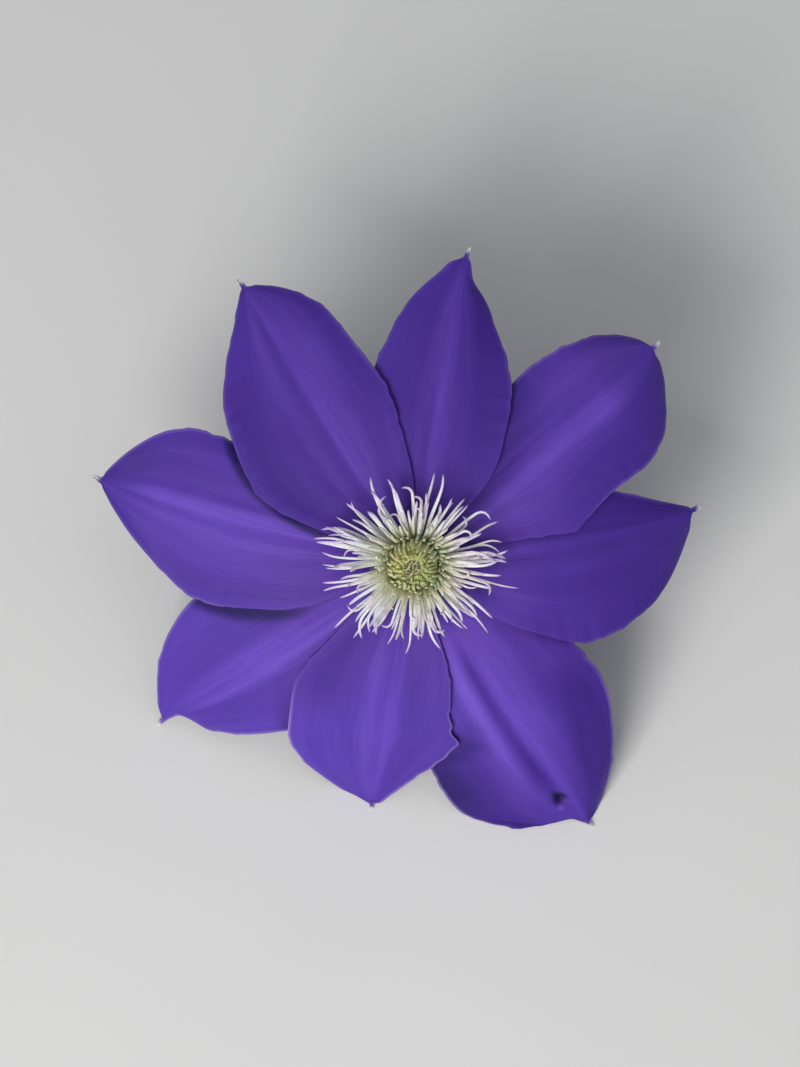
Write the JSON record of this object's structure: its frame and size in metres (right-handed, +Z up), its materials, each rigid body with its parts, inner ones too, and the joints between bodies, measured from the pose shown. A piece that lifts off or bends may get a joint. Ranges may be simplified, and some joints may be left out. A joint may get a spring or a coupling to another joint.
{
  "type": "clematis flower",
  "caption": "Large-flowered violet clematis bloom as picked: spread overlapping tepals, pale stamen boss and a short cut stem, lying face up on a surface.",
  "frame": {"origin": "on the surface that the flower lies on, below the middle of its outline", "axes": "+Z up; the face looks up and leans towards -Y, and the cut stem lies behind it towards +Y"},
  "size_m": [0.1193, 0.1039, 0.0587],
  "materials": {
    "tepal": "soft satin, blue-violet with a lighter bar along the ribs",
    "stamen": "matt, off-white with a lilac tip",
    "inner_stamen": "matt, yellow-green",
    "style": "silky, olive",
    "stem": "downy green"
  },
  "bodies": {
    "root": {"stem": "stem", "tepal_1": "tepal", "tepal_2": "tepal", "tepal_3": "tepal", "tepal_4": "tepal", "tepal_5": "tepal", "tepal_6": "tepal", "tepal_7": "tepal", "tepal_8": "tepal", "stamens": "stamen", "inner_stamens": "inner_stamen", "styles": "style"}
  },
  "joints": []
}
